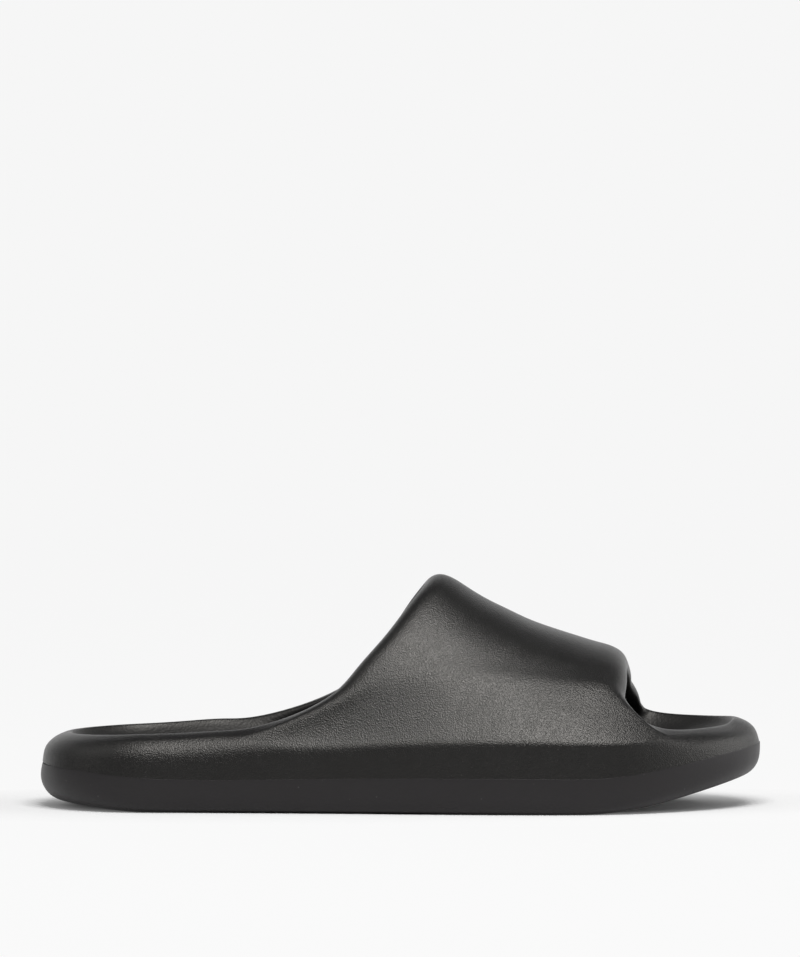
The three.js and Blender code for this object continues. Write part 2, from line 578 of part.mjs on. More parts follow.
function upperMesh() {
  const cage = newCage();
  const shoulderRow = places.map((place, m) => {
    if (!underStrap(m)) return rollPoint(place, SHOULDER_ANGLE);
    const foot = shoulder(place.point.x, place.side);
    return inside(place, foot.inset, foot.height);
  });
  const line = addRow(cage, lineRow(0));
  const wallRow = places.map((place, m) => {
    const z = mix(sideSize("line", place.along), shoulderRow[m].z, WALL_SHARE);
    return inside(place, underStrap(m) ? FLANK_INSET : wallInset(place, z), z);
  });
  const wall = addRow(cage, wallRow);
  const outer = addRow(cage, shoulderRow);
  band(cage, line, wall, true);
  band(cage, wall, outer, true);

  // Bond face
  const shelf = addRow(cage, shelfRow(0));
  band(cage, shelf, line, true);
  fillLoop(cage, shelf, BOND_STRIPS, (point) => bondHeight(alongOf(point.x)), false);
  sharpen(cage, line);

  // Strap rows from the outer shoulder to the inner one
  const rows = STRAP_ROWS.map((row) => ({ rear: row.rear, front: row.front }));
  const far = STRAP_ROWS.slice(0, -1).reverse().map((row) => ({ rear: 2 - row.rear, front: 2 - row.front }));
  const strapRows = [...rows, ...far];
  const columns = STRAP_FRONT - STRAP_REAR;
  const shareOfColumn = (c) =>
    (xOfTurn(stationTurn(STRAP_REAR + c)) - xOfTurn(rearTurn)) / (xOfTurn(frontTurn) - xOfTurn(rearTurn));

  // Lip points of one strap edge on one row: outside, rounding, edge and inside
  const lip = (table, across, direction, search) => {
    const edge = edgeX(table, across, search);
    const stretch = xStretch(edge, across);
    const reach = (length) => edge + (direction * length) / stretch;
    return {
      outerX: reach(LIP_LENGTH),
      innerX: reach(LIP_INNER),
      mid: strapInside(reach(LIP_LENGTH * LIP_MIDDLE), across, LIP_OUTER * LIP_MIDDLE),
      edge: strapInside(edge, across, LIP_OUTER),
    };
  };
  const rearLips = strapRows.map((row) => lip(COLLAR_EDGE, row.rear, 1, COLLAR_SEARCH));
  const frontLips = strapRows.map((row) => lip(FRONT_EDGE, row.front, -1, FRONT_SEARCH));

  const outerGrid = [];
  const innerGrid = [];
  strapRows.forEach((row, j) => {
    const outerLine = [];
    const innerLine = [];
    for (let c = 0; c <= columns; c += 1) {
      const share = shareOfColumn(c);
      const across = mix(row.rear, row.front, share);
      const outerX = mix(rearLips[j].outerX, frontLips[j].outerX, share);
      const innerX = mix(rearLips[j].innerX, frontLips[j].innerX, share);
      outerLine.push(addPoint(cage, strapOutside(outerX, across)));
      innerLine.push(addPoint(cage, strapInside(innerX, across, STRAP_WALL)));
    }
    outerGrid.push(outerLine);
    innerGrid.push(innerLine);
  });

  // Inside of the rim and of the strap's foot
  const innerRow = places.map((place, m) => {
    if (!underStrap(m)) {
      const roll = sideSize("roll", place.along);
      return inside(place, roll * CREST_SHARE + LIP_INNER, crestHeight(place) - LIP_DROP);
    }
    const foot = shoulder(place.point.x, place.side);
    const tilt = radians(STRAP_LEAN / 2);
    const level = foot.height - STRAP_WALL * Math.sin(tilt) + INNER_RISE;
    return inside(place, foot.inset + STRAP_WALL * Math.cos(tilt), level);
  });
  const inner = addRow(cage, innerRow);
  const footRow = places.map((place, m) => {
    const bed = sideSize("bed", place.along);
    const rise = Math.min(RIM_FILLET * FILLET_RISE, FILLET_LIMIT * (innerRow[m].z - bed));
    return inside(place, innerFoot(place), bed + rise);
  });
  const bedRow = places.map((place) => {
    const bed = inside(place, innerFoot(place) + RIM_FILLET, 0);
    bed.z = bedHeight(bed, BED_EDGE);
    return bed;
  });
  const foot = addRow(cage, footRow);
  const bed = addRow(cage, bedRow);
  band(cage, inner, foot, true);
  band(cage, foot, bed, true);
  fillLoop(cage, bed, FOOTBED_STRIPS, (point, across) => bedHeight(point, across * BED_EDGE), true);

  // Strap faces
  const lateral = (list) => Array.from({ length: columns + 1 }, (_, c) => list[STRAP_REAR + c]);
  const medialEnd = 2 * STATIONS - STRAP_REAR;
  const medial = (list) => Array.from({ length: columns + 1 }, (_, c) => list[medialEnd - c]);
  const outerRows = [lateral(outer), ...outerGrid, medial(outer)];
  const innerRows = [lateral(inner), ...innerGrid, medial(inner)];
  for (let j = 0; j + 1 < outerRows.length; j += 1) {
    band(cage, outerRows[j], outerRows[j + 1], false);
    band(cage, innerRows[j + 1], innerRows[j], false);
  }

  // Lips: the collar's loop and the toe's loop
  const ringLip = (m) => {
    const roll = sideSize("roll", places[m].along);
    const crest = crestHeight(places[m]);
    return {
      mid: rollPoint(places[m], LIP_ANGLE),
      edge: inside(places[m], roll * CREST_SHARE, crest),
    };
  };
  const heelArc = [];
  for (let m = medialEnd; m <= 2 * STATIONS + STRAP_REAR; m += 1) heelArc.push(m % (2 * STATIONS));
  const toeArc = [];
  for (let m = STRAP_FRONT; m <= 2 * STATIONS - STRAP_FRONT; m += 1) toeArc.push(m);
  const closeLip = (arc, lips, outerEdge, innerEdge) => {
    const points = [...arc.map(ringLip), ...lips];
    const outside = [...arc.map((m) => outer[m]), ...outerEdge];
    const within = [...arc.map((m) => inner[m]), ...innerEdge];
    const mid = addRow(cage, points.map((point) => point.mid));
    const edge = addRow(cage, points.map((point) => point.edge));
    band(cage, outside, mid, true);
    band(cage, mid, edge, true);
    band(cage, edge, within, true);
  };
  closeLip(heelArc, rearLips, outerGrid.map((row) => row[0]), innerGrid.map((row) => row[0]));
  closeLip(
    toeArc,
    [...frontLips].reverse(),
    outerGrid.map((row) => row[columns]).reverse(),
    innerGrid.map((row) => row[columns]).reverse(),
  );
  return geometryOf(smoothThrough(cage));
}

// Underside: flat under heel and ball, raised a little in the waist
function bottomHeight(point, across) {
  const along = alongOf(point.x);
  const waist = THREE.MathUtils.clamp((along - WAIST_START) / WAIST_LENGTH, 0, 1);
  const hollow = ARCH_HOLLOW * Math.sin(Math.PI * waist) ** 2 * (1 - across * across);
  return sideSize("bottom", along) + hollow;
}

function outsoleBody() {
  const cage = newCage();
  const wallRow = (share) =>
    places.map((place) => {
      const z = mix(sideSize("line", place.along) - BOND_GAP, bottomEdge(place), share);
      return inside(place, wallInset(place, z), z);
    });
  const padRow = places.map((place) => {
    const pad = inside(place, sideSize("under", place.along) + PAD_INSET, 0);
    pad.z = bottomHeight(pad, 1);
    return pad;
  });
  const line = addRow(cage, lineRow(BOND_GAP));
  const shelf = addRow(cage, shelfRow(BOND_GAP));
  const walls = WALL_ROWS.map((share) => addRow(cage, wallRow(share)));
  const pad = addRow(cage, padRow);
  band(cage, line, shelf, true);
  band(cage, walls[0], line, true);
  walls.slice(1).forEach((row, i) => band(cage, row, walls[i], true));
  band(cage, pad, walls.at(-1), true);
  fillLoop(cage, shelf, BOND_STRIPS, (point) => bondHeight(alongOf(point.x)) - BOND_GAP, true);
  fillLoop(cage, pad, TREAD_STRIPS, bottomHeight, false);
  sharpen(cage, line);
  const mesh = smoothThrough(cage);
  mesh.points.forEach((point) => {
    point.z = Math.max(point.z, 0);
  });
  return geometryOf(mesh);
}

// One wavy groove across the sole at a share of the length
function groove(along) {
  const x = (along - 0.5) * LENGTH;
  const left = outlineY(along, -1) - CENTRE_Y + EDGE_LAND;
  const right = outlineY(along, 1) - CENTRE_Y - EDGE_LAND;
  const centre = Array.from({ length: GROOVE_STEPS + 1 }, (_, i) => {
    const share = i / GROOVE_STEPS;
    return new THREE.Vector2(x + GROOVE_WAVE * Math.cos(4 * Math.PI * share), mix(left, right, share));
  });
  const outline = [
    ...centre.map((p) => new THREE.Vector2(p.x + GROOVE_WIDTH / 2, p.y)),
    ...centre.map((p) => new THREE.Vector2(p.x - GROOVE_WIDTH / 2, p.y)).reverse(),
  ];
  const depth = 2 * GROOVE_DEPTH;
  const geometry = new THREE.ExtrudeGeometry(new THREE.Shape(outline), { depth, bevelEnabled: false });
  return geometry.translate(0, 0, sideSize("bottom", along) - GROOVE_DEPTH);
}

const wasm = await Module();
wasm.setup();

function solidOf(geometry) {
  geometry.deleteAttribute("normal");
  geometry.deleteAttribute("uv");
  const merged = mergeVertices(geometry, 1e-4);
  return new wasm.Manifold(
    new wasm.Mesh({
      numProp: 3,
      vertProperties: new Float32Array(merged.attributes.position.array),
      triVerts: new Uint32Array(merged.index.array),
    }),
  );
}

function geometryFromSolid(solid) {
  const mesh = solid.getMesh();
  const geometry = new THREE.BufferGeometry();
  geometry.setAttribute("position", new THREE.BufferAttribute(new Float32Array(mesh.vertProperties), 3));
  geometry.setIndex(new THREE.BufferAttribute(new Uint32Array(mesh.triVerts), 1));
  geometry.computeVertexNormals();
  return geometry;
}

function outsoleMesh() {
  let body = solidOf(outsoleBody());
  TREAD_ZONES.forEach((zone) => {
    const count = Math.floor(((zone.to - zone.from) * LENGTH) / GROOVE_PITCH);
    for (let i = 0; i <= count; i += 1) {
      body = body.subtract(solidOf(groove(mix(zone.from, zone.to, i / count))));
    }
  });
  return geometryFromSolid(body);
}

const foam = (color, roughness) => new THREE.MeshStandardMaterial({ color, roughness, metalness: 0 });

const sandal = new THREE.Group();
const upper = new THREE.Mesh(upperMesh(), foam(FOAM_COLOUR, 0.62));
upper.name = "upper";
const outsole = new THREE.Mesh(outsoleMesh(), foam(SOLE_COLOUR, 0.55));
outsole.name = "outsole";
sandal.add(upper, outsole);

export default sandal;
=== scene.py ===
import bpy
import math
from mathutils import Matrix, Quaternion, Vector


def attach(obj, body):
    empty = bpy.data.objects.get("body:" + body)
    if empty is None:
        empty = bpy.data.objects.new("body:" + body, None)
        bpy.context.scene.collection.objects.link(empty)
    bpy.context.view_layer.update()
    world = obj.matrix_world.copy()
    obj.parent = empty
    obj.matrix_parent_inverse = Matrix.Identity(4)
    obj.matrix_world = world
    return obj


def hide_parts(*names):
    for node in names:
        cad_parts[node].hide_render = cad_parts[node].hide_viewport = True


# Sport slide sandal for the right foot, in moulded foam, built again finely over its CAD solids.
# Sizes here are millimetres until a mesh is made. +X is the toe, +Y the inner side of the foot, +Z up.
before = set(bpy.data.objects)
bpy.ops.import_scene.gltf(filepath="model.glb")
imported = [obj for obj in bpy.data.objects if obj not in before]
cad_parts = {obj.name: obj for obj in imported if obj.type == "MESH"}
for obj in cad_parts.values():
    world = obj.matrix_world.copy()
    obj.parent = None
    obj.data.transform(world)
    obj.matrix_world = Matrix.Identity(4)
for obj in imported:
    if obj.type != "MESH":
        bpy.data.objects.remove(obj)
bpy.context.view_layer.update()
MM = 0.001

LENGTH = 290.0
BALL_WIDTH = 114.0
HEEL_WIDTH = 89.0
STRAP_HEIGHT = 93.0
HEEL_RIM_HEIGHT = 29.6
TOE_RIM_HEIGHT = 34.4
HEEL_ROUND = 44.0
TOE_ROUND = 72.0
INNER_TOE_ROUND = 56.0
TOE_BLUNTNESS = 2.05
STRAP_WALL = 8.6
FOOTBED_SLAB = 8.0
FOOTBED_CUP = 1.6
RIM_FILLET = 3.6
FILLET_RISE = 0.6
FILLET_LIMIT = 0.45
BED_EDGE = 0.93
ROLL_BLUNTNESS = 2.4
UNDER_BLUNTNESS = 2.4
LIP_LENGTH = 8.4
LIP_OUTER = 6.4
LIP_INNER = 2.6
LIP_DROP = 2.9
CREST_SHARE = 0.84
LIP_MIDDLE = 0.3
STRAP_LEAN = 29.0
STRAP_ARM = 0.46
RIDGE_OFFSET = 4.0
KNUCKLE_RISE = 1.8
FLANK_INSET = 0.6
WALL_SHARE = 0.64
INNER_RISE = 3.0
BOND_SHELF = 14.0
GROOVE_WIDTH = 3.0
GROOVE_DEPTH = 1.8
GROOVE_PITCH = 12.5
GROOVE_WAVE = 2.2
GROOVE_STEPS = 28
EDGE_LAND = 10.0
PAD_INSET = 5.0
ARCH_HOLLOW = 1.6
WAIST_START = 0.33
WAIST_LENGTH = 0.2
STATIONS = 24
STRAP_REAR = 9
STRAP_FRONT = 18
FOOTBED_STRIPS = 6
BOND_STRIPS = 3
TREAD_STRIPS = 4
WALL_ROWS = (0.34, 0.66, 0.9, 1.0)
CORRECTIONS = 6
SUBDIVISIONS = 3
UPPER_SMOOTH = 50
OUTSOLE_SMOOTH = 35
NORMAL_STEP = 0.001
ACROSS_STEP = 0.02
INNER_TILT_SHARE = 0.5
GROOVE_TAPER = 0.8

# How far inside the shoe a row of points counts, for the coarser grain there
EDGE_INSIDE = 0.25
WALL_INSIDE = 0.8

# The joint: how the bottom unit's edge stands out under the upper's, and how it opens at the very back, over
# a few stations to each side
LINE_GAP = 0.05
LINE_LEDGE = 0.16
LINE_BEVEL = 0.32
NOTCH_UP = 0.6
NOTCH_DOWN = 0.5
NOTCH_IN = 0.7
NOTCH_SPREAD = 3

# Where the rim's shoulder and the middle of its lip lie, as angles round its roll
SHOULDER_ANGLE = math.radians(50)
LIP_ANGLE = math.radians(66)


def table(columns, *rows):
    """Rows of a table as dictionaries, from its column names."""
    return [dict(zip(columns.split(), row)) for row in rows]


# Plan outline before its ends are rounded
OUTLINE = table(
    "along half middle",
    (0.0, HEEL_WIDTH * 0.5, 0),
    (0.155, HEEL_WIDTH * 0.5, HEEL_WIDTH * -0.003),
    (0.293, HEEL_WIDTH * 0.51, HEEL_WIDTH * -0.011),
    (0.431, BALL_WIDTH * 0.418, BALL_WIDTH * -0.019),
    (0.569, BALL_WIDTH * 0.461, BALL_WIDTH * -0.017),
    (0.672, BALL_WIDTH * 0.491, BALL_WIDTH * -0.006),
    (0.76, BALL_WIDTH * 0.499, BALL_WIDTH * 0.005),
    (0.845, BALL_WIDTH * 0.492, BALL_WIDTH * 0.023),
    (0.931, BALL_WIDTH * 0.475, BALL_WIDTH * 0.037),
    (1.0, BALL_WIDTH * 0.46, BALL_WIDTH * 0.044),
)

# The side's levels and insets, as shares of the heel rim's height
SIDE = table(
    "along bottom line widest bed under roll fall",
    (0.0, 0.105, 0.59, 0.48, 0.7, 0.355, 0.49, 0.28),
    (0.06, 0.058, 0.547, 0.48, 0.69, 0.321, 0.473, 0.28),
    (0.107, 0.02, 0.5, 0.49, 0.69, 0.27, 0.439, 0.27),
    (0.15, 0.0, 0.468, 0.5, 0.69, 0.236, 0.412, 0.27),
    (0.228, 0.0, 0.446, 0.52, 0.7, 0.203, 0.385, 0.26),
    (0.45, 0.0, 0.475, 0.54, 0.78, 0.186, 0.372, 0.17),
    (0.66, 0.0, 0.487, 0.54, 0.67, 0.186, 0.372, 0.165),
    (0.755, 0.0, 0.481, 0.55, 0.655, 0.203, 0.372, 0.18),
    (0.797, 0.03, 0.505, 0.58, 0.67, 0.22, 0.378, 0.19),
    (0.837, 0.087, 0.566, 0.62, 0.7, 0.236, 0.389, 0.205),
    (0.876, 0.17, 0.622, 0.67, 0.75, 0.253, 0.405, 0.22),
    (0.934, 0.312, 0.745, 0.73, 0.82, 0.287, 0.419, 0.24),
    (1.0, 0.487, 0.85, 0.76, 0.88, 0.321, 0.422, 0.27),
)

# Rim crests behind and ahead of the strap, as shares of the heel and toe rim heights
HEEL_RIM = table(
    "along lateral medial",
    (0.0, 1.0, 1.0),
    (0.05, 1.0, 1.006),
    (0.159, 1.05, 1.042),
    (0.228, 1.074, 1.088),
    (0.279, 1.124, 1.118),
    (0.338, 1.22, 1.19),
)
TOE_RIM = table(
    "along lateral medial",
    (0.8366, 1.03, 1.075),
    (0.845, 0.99, 1.045),
    (0.857, 0.967, 1.004),
    (0.886, 0.938, 0.984),
    (0.91, 0.948, 0.982),
    (0.934, 0.957, 0.99),
    (0.9445, 0.972, 1.0),
    (0.957, 1.018, 1.018),
)

# The strap's middle line from the side, with the lean and the level share of its section
RIDGE = table(
    "along height lean flat",
    (0.28, 1.5, 0.48, 0.34),
    (0.4, 1.245, 0.62, 0.38),
    (0.5, 1.088, 0.75, 0.41),
    (0.565, 0.995, 0.83, 0.42),
    (0.616, 0.899, 0.89, 0.44),
    (0.65, 0.846, 0.93, 0.46),
    (0.683, 0.798, 0.97, 0.48),
    (0.716, 0.762, 0.99, 0.5),
    (0.75, 0.728, 1.0, 0.52),
    (0.783, 0.697, 1.0, 0.54),
    (0.82, 0.663, 1.0, 0.55),
    (0.87, 0.62, 1.0, 0.56),
)

# The strap's two edges from the side
COLLAR_EDGE = table(
    "height along forward",
    (0.36, 0.3015, 0.035),
    (0.42, 0.362, 0.044),
    (0.452, 0.3803, 0.048),
    (0.488, 0.3985, 0.048),
    (0.551, 0.4225, 0.048),
    (0.601, 0.4345, 0.046),
    (0.656, 0.4515, 0.042),
    (0.718, 0.4685, 0.037),
    (0.785, 0.4855, 0.03),
    (0.846, 0.5015, 0.021),
    (0.905, 0.5183, 0.0105),
    (0.968, 0.5362, 0),
    (1.06, 0.56, 0),
)
FRONT_EDGE = table(
    "height along forward",
    (0.33, 0.848, 0.07),
    (0.355, 0.838, 0.1),
    (0.383, 0.8248, 0.113),
    (0.412, 0.8138, 0.1),
    (0.454, 0.8041, 0.09),
    (0.4935, 0.8002, 0.088),
    (0.546, 0.801, 0.084),
    (0.585, 0.8, 0.078),
    (0.613, 0.8005, 0.07),
    (0.72, 0.801, 0.07),
)
COLLAR_SEARCH = (-0.3, 0.12)
FRONT_SEARCH = (0.0, 0.42)
HALVINGS = 40
STRAP_ROWS = table(
    "rear front",
    (0.13, 0.36),
    (0.26, 0.5),
    (0.41, 0.63),
    (0.59, 0.76),
    (0.79, 0.88),
    (1.0, 1.0),
)
TREAD_ZONES = table("start end", (0.1, 0.31), (0.55, 0.9))


def lookup(rows, key, column, value):
    """A column at a value of the key column, by smooth cubic interpolation, held level past the ends."""
    last = len(rows) - 1
    if value <= rows[0][key]:
        return rows[0][column]
    if value >= rows[last][key]:
        return rows[last][column]
    i = 0
    while rows[i + 1][key] < value:
        i += 1
    step = rows[i + 1][key] - rows[i][key]

    def slope(n):
        low = max(n - 1, 0)
        high = min(n + 1, last)
        return (rows[high][column] - rows[low][column]) / (rows[high][key] - rows[low][key])

    t = (value - rows[i][key]) / step
    rise = rows[i + 1][column] - rows[i][column]
    bend = slope(i) * step * t * (1 - t) * (1 - t) - slope(i + 1) * step * t * t * (1 - t)
    return rows[i][column] + rise * t * t * (3 - 2 * t) + bend


def along_of(x):
    return x / LENGTH + 0.5


def mix(a, b, t):
    return a + (b - a) * t


def end_rounding(along, side):
    from_heel = along * LENGTH / HEEL_ROUND
    from_toe = (1 - along) * LENGTH / (TOE_ROUND if side < 0 else INNER_TOE_ROUND)
    heel = math.sqrt(max(0.0, 1 - (1 - from_heel) ** 2)) if from_heel < 1 else 1.0
    rest = 1 - (1 - min(from_toe, 1.0)) ** TOE_BLUNTNESS
    return heel * max(0.0, rest) ** (1 / TOE_BLUNTNESS)


def outline_y(along, side):
    half = lookup(OUTLINE, "along", "half", along) * end_rounding(along, side)
    return lookup(OUTLINE, "along", "middle", along) + side * half


SAMPLES = 200
CENTRE_Y = 0.5 * (
    min(outline_y(i / SAMPLES, -1) for i in range(SAMPLES + 1))
    + max(outline_y(i / SAMPLES, 1) for i in range(SAMPLES + 1))
)


def turn_in(angle):
    return 1 - math.cos(angle) ** (2 / ROLL_BLUNTNESS)


def turn_up(angle):
    return math.sin(angle) ** (2 / ROLL_BLUNTNESS)


class Place:
    """A station of the outline: its plan point, outward normal, share of the length and side."""

    def __init__(self, turn, side):
        def at(value):
            along = 0.5 - 0.5 * math.cos(math.pi * value)
            return Vector(((along - 0.5) * LENGTH, outline_y(along, side) - CENTRE_Y, 0.0))

        self.point = at(turn)
        self.side = side
        self.along = along_of(self.point.x)
        if 0 < turn < 1:
            run = at(turn + NORMAL_STEP) - at(turn - NORMAL_STEP)
            normal = Vector((run.y, -run.x, 0.0))
            if side > 0:
                normal.negate()
        else:
            normal = Vector((-1.0 if turn < 0.5 else 1.0, 0.0, 0.0))
        self.normal = normal.normalized()

    def inside(self, inset, z):
        return Vector((self.point.x - self.normal.x * inset, self.point.y - self.normal.y * inset, z))

    def size(self, column):
        return lookup(SIDE, "along", column, self.along) * HEEL_RIM_HEIGHT

    def crest(self):
        along = along_of(self.inside(self.size("roll"), 0.0).x)
        name = "lateral" if self.side < 0 else "medial"
        if along < 0.5:
            return lookup(HEEL_RIM, "along", name, along) * HEEL_RIM_HEIGHT
        return lookup(TOE_RIM, "along", name, along) * TOE_RIM_HEIGHT

    def bottom_edge(self):
        along = along_of(self.inside(self.size("under"), 0.0).x)
        return lookup(SIDE, "along", "bottom", along) * HEEL_RIM_HEIGHT

    def roll_point(self, angle):
        z = mix(self.size("widest"), self.crest(), turn_up(angle))
        return self.inside(self.size("roll") * turn_in(angle), z)

    def wall_inset(self, z):
        widest = self.size("widest")
        if z >= widest:
            share = min((z - widest) / (self.crest() - widest), 1.0)
            return self.size("roll") * (1 - (1 - share**ROLL_BLUNTNESS) ** (1 / ROLL_BLUNTNESS))
        share = min((widest - z) / (widest - self.bottom_edge()), 1.0)
        return self.size("under") * (1 - math.sqrt(1 - share**UNDER_BLUNTNESS))


def x_of_turn(turn):
    return -0.5 * LENGTH * math.cos(math.pi * turn)


REAR_TURN = STRAP_REAR / STATIONS
FRONT_TURN = STRAP_FRONT / STATIONS
SHOULDER_ENDS = {
    side: [Place(turn, side).roll_point(SHOULDER_ANGLE).z for turn in (REAR_TURN, FRONT_TURN)]
    for side in (-1, 1)
}


def shoulder(x, side):
    """Height and inset of the shoulder, where the wall turns in to the strap."""
    rear, front = SHOULDER_ENDS[side]
    share = (x - x_of_turn(REAR_TURN)) / (x_of_turn(FRONT_TURN) - x_of_turn(REAR_TURN))
    share = min(max(share, 0.0), 1.0)
    inset = lookup(SIDE, "along", "roll", along_of(x)) * HEEL_RIM_HEIGHT * turn_in(SHOULDER_ANGLE)
    rise = KNUCKLE_RISE * math.sin(math.pi * share) ** 2
    return mix(rear, front, share) + rise, inset


def strap_outside(x, across):
    side = -1 if across <= 1 else 1
    t = across if across <= 1 else 2 - across
    along = along_of(x)
    foot_z, inset = shoulder(x, side)
    foot_y = outline_y(along, side) - CENTRE_Y - side * inset
    top = lookup(RIDGE, "along", "height", along) * STRAP_HEIGHT
    arm = STRAP_ARM * (top - foot_z)
    lean = math.radians(STRAP_LEAN * lookup(RIDGE, "along", "lean", along))
    flat_y = mix(RIDGE_OFFSET, foot_y, lookup(RIDGE, "along", "flat", along))
    ys = (foot_y, foot_y - side * arm * math.sin(lean), flat_y, RIDGE_OFFSET)
    zs = (foot_z, foot_z + arm * math.cos(lean), top, top)
    weights = ((1 - t) ** 3, 3 * t * (1 - t) ** 2, 3 * t * t * (1 - t), t**3)
    return Vector((x, sum(w * y for w, y in zip(weights, ys)), sum(w * z for w, z in zip(weights, zs))))


def strap_normal(x, across):
    over = strap_outside(x, min(across + ACROSS_STEP, 2.0)) - strap_outside(x, max(across - ACROSS_STEP, 0.0))
    forward = strap_outside(x + 1, across) - strap_outside(x - 1, across)
    return forward.cross(over).normalized()


def strap_inside(x, across, depth):
    return strap_outside(x, across) - strap_normal(x, across) * depth


def edge_x(rows, across, search):
    """X at which the strap's lip follows an edge table, by halving."""
    low, high = (share * LENGTH for share in search)
    for _ in range(HALVINGS):
        middle = (low + high) / 2
        edge = strap_inside(middle, across, LIP_OUTER)
        share = edge.z / STRAP_HEIGHT
        wanted = (lookup(rows, "height", "along", share) - 0.5) * LENGTH
        wanted += lookup(rows, "height", "forward", share) * BALL_WIDTH * across / 2
        if edge.x > wanted:
            high = middle
        else:
            low = middle
    return (low + high) / 2


def x_stretch(x, across):
    return (strap_outside(x + 1, across) - strap_outside(x - 1, across)).length / 2


class Cage:
    """Points, polygons that share them, sharp edges, and how far inside the shoe each point is."""

    def __init__(self):
        self.points = []
        self.faces = []
        self.sharp = set()
        self.inner = []

    def row(self, points, inner=0.0):
        first = len(self.points)
        self.points += [p.copy() for p in points]
        self.inner += [inner] * len(points)
        return list(range(first, len(self.points)))

    def band(self, first, second, closed=True):
        count = len(first) if closed else len(first) - 1
        for i in range(count):
            j = (i + 1) % len(first)
            self.faces.append((first[i], first[j], second[j], second[i]))

    def sharpen(self, loop):
        for i, point in enumerate(loop):
            self.sharp.add(edge_key(point, loop[(i + 1) % len(loop)]))

    def fill(self, loop, strips, height_of, up, inner=0.0):
        def put(*corners):
            self.faces.append(corners if up else tuple(reversed(corners)))

        end = STATIONS
        before = None
        for k in range(2, end - 1):
            a, b = loop[k], loop[2 * end - k]
            row = [a]
            for i in range(1, strips):
                point = self.points[a].lerp(self.points[b], i / strips)
                point.z = height_of(point, 2 * i / strips - 1)
                row += self.row([point], inner)
            row.append(b)
            if before:
                for i in range(strips):
                    put(before[i], row[i], row[i + 1], before[i + 1])
            if k == 2:
                put(loop[0], loop[1], row[0], row[1])
                for i in range(1, strips - 1):
                    put(loop[0], row[i], row[i + 1])
                put(loop[0], row[strips - 1], row[strips], loop[2 * end - 1])
            if k == end - 2:
                put(row[0], loop[end - 1], loop[end], row[1])
                for i in range(1, strips - 1):
                    put(row[i], loop[end], row[i + 1])
                put(row[strips - 1], loop[end], loop[end + 1], row[strips])
            before = row


def edge_key(a, b):
    return (a, b) if a < b else (b, a)


def topology(points, faces):
    face_list = [[] for _ in points]
    edges = {}
    for f, face in enumerate(faces):
        for i, a in enumerate(face):
            face_list[a].append(f)
            edges.setdefault(edge_key(a, face[(i + 1) % len(face)]), []).append(f)
    ends = [[] for _ in points]
    for a, b in edges:
        ends[a].append(b)
        ends[b].append(a)
    return face_list, edges, ends


def average(points):
    total = Vector((0.0, 0.0, 0.0))
    for point in points:
        total += point
    return total / len(points)


def subdivide(points, faces, sharp):
    """One round of smooth subdivision."""
    face_list, edges, ends = topology(points, faces)
    count = len(points)
    centres = [average([points[p] for p in face]) for face in faces]
    middles = {}
    edge_points = []
    finer_sharp = set()
    for key, sides in edges.items():
        both = [points[p] for p in key]
        index = count + len(edge_points)
        if key in sharp:
            edge_points.append(average(both))
            finer_sharp.update(edge_key(p, index) for p in key)
        else:
            edge_points.append(average(both + [centres[f] for f in sides]))
        middles[key] = index
    moved = []
    for p, point in enumerate(points):
        keen = [q for q in ends[p] if edge_key(p, q) in sharp]
        if len(keen) == 2:
            moved.append(point * 0.75 + average([points[q] for q in keen]) * 0.25)
            continue
        n = len(face_list[p])
        faces_mean = average([centres[f] for f in face_list[p]])
        ends_mean = average([points[q] for q in ends[p]])
        moved.append(point * ((n - 2) / n) + faces_mean / n + ends_mean / n)
    first_centre = count + len(edge_points)
    finer = []
    for f, face in enumerate(faces):
        for i, p in enumerate(face):
            ahead = middles[edge_key(p, face[(i + 1) % len(face)])]
            behind = middles[edge_key(p, face[i - 1])]
            finer.append((p, ahead, first_centre + f, behind))
    return moved + edge_points + centres, finer, finer_sharp


def settled(points, faces, sharp, count):
    """Where the first points of an all-quad mesh end after endless subdivision."""
    face_list, _, ends = topology(points, faces)
    reached = []
    for p in range(count):
        keen = [q for q in ends[p] if edge_key(p, q) in sharp]
        if len(keen) == 2:
            reached.append(points[p] * (2 / 3) + average([points[q] for q in keen]) / 3)
            continue
        n = len(ends[p])
        total = points[p] * (n * n)
        for q in ends[p]:
            total += points[q] * 4
        for f in face_list[p]:
            face = faces[f]
            total += points[face[(face.index(p) + 2) % 4]]
        reached.append(total / (n * (n + 5)))
    return reached


def fit_through(cage):
    """Moves the cage's points so that the smooth surface passes through where they were."""
    wanted = [p.copy() for p in cage.points]
    for _ in range(CORRECTIONS):
        fine = subdivide(cage.points, cage.faces, cage.sharp)
        reached = settled(*fine, len(wanted))
        cage.points = [p + w - r for p, w, r in zip(cage.points, wanted, reached)]


places = [
    Place(m / STATIONS, -1) if m <= STATIONS else Place((2 * STATIONS - m) / STATIONS, 1)
    for m in range(2 * STATIONS)
]


def side_index(m):
    return m if m <= STATIONS else 2 * STATIONS - m


def under_strap(m):
    return STRAP_REAR < side_index(m) < STRAP_FRONT


def bed_level(point):
    return lookup(SIDE, "along", "bed", along_of(point.x)) * HEEL_RIM_HEIGHT


def bed_height(point, across):
    return bed_level(point) - FOOTBED_CUP * (1 - across * across)


def bond_height(point, across=0.0):
    return bed_level(point) - FOOTBED_SLAB


def line_row(drop, notch, ledge=0.0):
    """The line round the side; the joint opens a little at the very back of the heel."""
    row = []
    for m, place in enumerate(places):
        z = place.size("line")
        from_back = min(m, 2 * STATIONS - m)
        share = max(0.0, 1 - from_back / NOTCH_SPREAD)
        inset = place.wall_inset(z - drop) + NOTCH_IN * share - ledge
        row.append(place.inside(inset, z - drop + notch * share))
    return row


